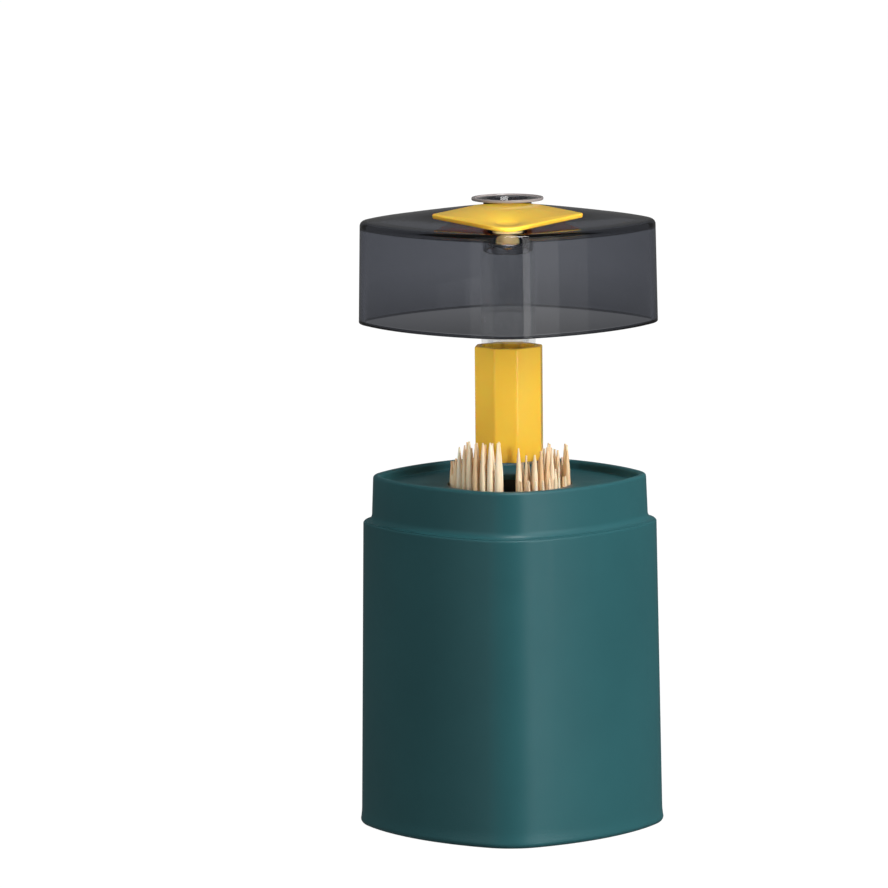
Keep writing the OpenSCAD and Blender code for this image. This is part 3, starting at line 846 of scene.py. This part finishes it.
# ---- cover and its pivot ----------------------------------------------------
def cover_outline(inset):
    """The cover about its pivot: a rounded square on its corner, cut to pass the core's stem."""
    tip_in = TIP_R * (math.sqrt(2) - 1)
    half_diag = COVER_W / 2 + tip_in
    nose_in = NOSE_R * (math.sqrt(2) - 1)
    mid_y = -NOSE_BACK - nose_in + half_diag
    tip_c = half_diag - TIP_R * math.sqrt(2)
    nose_c = mid_y - half_diag + NOSE_R * math.sqrt(2)
    reach = COVER_REACH - inset
    edge_d = (half_diag + mid_y) / math.sqrt(2) - inset
    meet_a = 45 + math.degrees(math.acos(edge_d / reach))
    arcs = [arc(0, nose_c, NOSE_R - inset, 225, 315, 16, True),
            arc(tip_c, mid_y, TIP_R - inset, 315, 405, 12, True),
            arc(0, 0, reach, meet_a, 180 - meet_a, 16, True),
            arc(-tip_c, mid_y, TIP_R - inset, 135, 225, 12, True)]
    points = []
    n = 14
    for k in range(4):
        points += arcs[k]
        (x0, y0), (x1, y1) = arcs[k][-1], arcs[(k + 1) % 4][0]
        points += [(x0 + (x1 - x0) * i / n, y0 + (y1 - y0) * i / n) for i in range(1, n)]
    return points


def make_cover():
    """The cover with round edges and its dished finger rest."""
    def cover_ring(inset, z):
        """The outline as a ring at a height."""
        return [(x, y, z) for x, y in cover_outline(inset)]

    def dimple_ring(r, z):
        """A round ring about the pivot, its points in line with the outline's."""
        return [(x * r / math.hypot(x, y), y * r / math.hypot(x, y), z)
                for x, y in cover_outline(COVER_EDGE)]

    e, t = COVER_EDGE, COVER_T
    rings = [dimple_ring(r, t - drop) for r, drop in DIMPLE]
    rings += [cover_ring(e - x, t - e + z) for x, z in
              [(e * cos(rad(a)), e * sin(rad(a))) for a in (90, 70, 50, 30, 10, 0)]]
    rings += [cover_ring(e - x, e - z) for x, z in
              [(e * cos(rad(a)), e * sin(rad(a))) for a in (0, 30, 60, 90)]]
    return mesh_object("cover_plate_skin", *loft(rings), AT_PIVOT)


dress(make_cover(), "cover", "cover_plate", YELLOW, 38)

pin = mesh_object("pivot_pin_skin", *lathe(rounded([
    (0, SCREW_L - PIN_L), (HOLE_R, SCREW_L - PIN_L, 0), (HOLE_R, -PIN_L, 0.1),
    (PIN_R, -PIN_L, 0.25), (PIN_R, 0, 0), (0, 0)])), AT_PIVOT)
dress(pin, "cover", "pivot_pin", CREAM)
under = -PIN_L - WASHER_T
washer = mesh_object("pivot_washer_skin", *lathe(rounded([
    (HOLE_R, under, 0.1), (WASHER_R, under, 0.25),
    (WASHER_R, -PIN_L, 0.2), (HOLE_R, -PIN_L, 0.1)])), AT_PIVOT)
dress(washer, "cover", "pivot_washer", STEEL)
head_z, tip_z = under - SCREW_HEAD_H, under + WASHER_T + SCREW_L - 0.1
screw = mesh_object("pivot_screw_skin", *lathe(rounded([
    (0, head_z), (SCREW_HEAD_R * 0.62, head_z, 0.5),
    (SCREW_HEAD_R, under - SCREW_HEAD_H * 0.35, 0.3), (SCREW_HEAD_R, under, 0.05),
    (SCREW_R, under, 0), (SCREW_R, tip_z, 0.35), (0, tip_z)]), 64), AT_PIVOT)
for turn in (0, 90):
    recess = block(-RECESS_L / 2, RECESS_L / 2, -RECESS_W / 2, RECESS_W / 2,
                   head_z - 1, head_z + RECESS_DEPTH, turn)
    boolean(screw, mesh_object("tool", *recess, AT_PIVOT), "DIFFERENCE")
dress(screw, "cover", "pivot_screw", BRASS)

# ---- stage, light and camera ------------------------------------------------
GROUND_HALF, GROUND_T = 12000, 60
# glow of the table and of the wall behind it, as clear plastic shows them, and in metres
# from the object's middle where the one ends and the other begins
TABLE_GLOW, WALL_GLOW = 0.1, 0.34
TABLE_END, WALL_START = 1.05, 1.3
# the world's strength for light and for the camera
WORLD_LIGHT, WORLD_WHITE = 0.12, 0.95


def make_floor():
    """A floor that the camera sees white."""
    floor = mesh_object("floor", *block(-GROUND_HALF, GROUND_HALF, -GROUND_HALF, GROUND_HALF,
                                        -GROUND_T, 0))
    n = Nodes("floor_pale")
    n.link(n.ramp(n.noise(n.coords(), 3, 2), [(0.3, (0.02,) * 3), (0.7, (0.03,) * 3)]),
           n.shader.inputs["Base Color"])
    # clear plastic shows a dark table and a dim wall beyond it
    vector = n.add("ShaderNodeVectorMath", operation="LENGTH")
    n.link(n.coords(), vector.inputs[0])
    dim = n.between(vector.outputs["Value"], TABLE_GLOW, WALL_GLOW, TABLE_END, WALL_START)
    paths = n.add("ShaderNodeLightPath")
    seen = n.add("ShaderNodeMix", data_type="FLOAT")
    n.link(paths.outputs["Is Camera Ray"], seen.inputs[0])
    n.link(dim, seen.inputs[2])
    seen.inputs[3].default_value = 1.0
    n.link(seen.outputs[0], n.shader.inputs["Emission Strength"])
    n.set(Roughness=0.9, Emission_Color=(1, 1, 1, 1))
    floor.data.materials.append(n.material)
    # the pale floor does not wash out the dark plastics
    floor.visible_diffuse = floor.visible_glossy = False


make_floor()

# the point that the soft lights face, in metres
TARGET = (0, 0, 0.08)
# whether diffuse and glossy surfaces answer to a lamp
BOTH, MATTE, SHEEN = (True, True), (True, False), (False, True)


def lamp(name, kind, at, aim, power, lit, **settings):
    """A lamp turned to its aim, which no camera sees, directly or through clear plastic."""
    data = bpy.data.lights.new(name, kind)
    data.energy = power
    for key, value in settings.items():
        setattr(data, key, value)
    obj = bpy.data.objects.new(name, data)
    scene.collection.objects.link(obj)
    obj.location = at
    obj.visible_camera = obj.visible_transmission = False
    obj.visible_diffuse, obj.visible_glossy = lit
    obj.rotation_euler = (Vector(aim) - Vector(at)).to_track_quat("-Z", "Y").to_euler()


def area_light(name, at, size, power, lit):
    """A soft light on the whole object."""
    lamp(name, "AREA", at, TARGET, power, lit, shape="RECTANGLE", size=size[0], size_y=size[1])


def spot_light(name, at, aim, radius, power, lit):
    """A narrow lamp that lights a circle of that radius around its aim."""
    reach = (Vector(aim) - Vector(at)).length
    lamp(name, "SPOT", at, aim, power, lit, shadow_soft_size=0.02 * reach,
         spot_size=2 * math.atan(radius / reach), spot_blend=0.35)


area_light("key", (0.95, -0.75, 0.5), (0.4, 1.0), 20, MATTE)
area_light("fill", (-1.1, -0.9, 0.45), (0.7, 0.7), 6.5, MATTE)
area_light("top", (0.25, -0.35, 1.3), (0.7, 0.5), 9, BOTH)
area_light("back", (-0.3, 1.3, 0.6), (0.7, 0.7), 6, MATTE)
# what the glossy pieces mirror: cards at the right that fade away from the camera, one at the
# left; each has its azimuth, its width and its power
CARD_OFF, CARD_Z, CARD_H = 1.2, 0.35, 1.5
for azimuth, width, power in ((36, 0.32, 1.5), (46, 0.75, 1.8), (55, 1.15, 1.6), (-42, 0.6, 0.9)):
    area_light("card", (CARD_OFF * sin(rad(azimuth)), -CARD_OFF * cos(rad(azimuth)), CARD_Z),
               (width, CARD_H), power, SHEEN)
# the sleeve's left side, and the pin behind the smoked front corner
spot_light("sleeve_spot", (-0.75, -0.27, 0.2), (0, 0, 0.112), 0.023, 11, MATTE)
spot_light("pin_spot", (0.04, -0.33, 0.162), (0, -0.034, 0.1481), 0.0034, 30, BOTH)

world = bpy.data.worlds.new("studio")
scene.world = world
world.use_nodes = True
background = world.node_tree.nodes["Background"]
paths = world.node_tree.nodes.new("ShaderNodeLightPath")
strength = world.node_tree.nodes.new("ShaderNodeMapRange")
strength.inputs["To Min"].default_value = WORLD_LIGHT
strength.inputs["To Max"].default_value = WORLD_WHITE
world.node_tree.links.new(paths.outputs["Is Camera Ray"], strength.inputs["Value"])
world.node_tree.links.new(strength.outputs["Result"], background.inputs["Strength"])
background.inputs["Color"].default_value = (1, 1, 1, 1)

# The photograph's view: about 1.8 m away and 8.3 degrees above the middle of
# the object, 4 pixels to a millimetre, in a frame of 888 by 888 pixels.
FRAME_PX, FOCAL_PX, SENSOR = 888, 7200, 36.0
DISTANCE, ELEVATION, AIM_Z = 1.8, rad(8.32), 0.075
AIM_COLUMN, AIM_ROW = 509.3, 526.25
ROLL = rad(-0.45)
camera_data = bpy.data.cameras.new("camera")
camera = bpy.data.objects.new("camera", camera_data)
scene.collection.objects.link(camera)
scene.camera = camera
camera_data.sensor_width = SENSOR
camera_data.lens = FOCAL_PX / FRAME_PX * SENSOR
camera_data.clip_start, camera_data.clip_end = 0.05, 50
camera_data.dof.use_dof = False
# the camera is turned so that the aim point falls on its row and column
yaw = math.atan((AIM_COLUMN - FRAME_PX / 2) / FOCAL_PX)
pitch = math.atan((AIM_ROW - FRAME_PX / 2) / FOCAL_PX)
looks = (Matrix.Rotation(pi / 2 - ELEVATION, 4, "X") @ Matrix.Rotation(pitch, 4, "X")
         @ Matrix.Rotation(yaw, 4, "Y") @ Matrix.Rotation(ROLL, 4, "Z"))
camera.matrix_world = Matrix.Translation(
    (0, -DISTANCE * cos(ELEVATION), AIM_Z + DISTANCE * sin(ELEVATION))) @ looks

scene.view_settings.view_transform = "Standard"
scene.view_settings.look = "None"
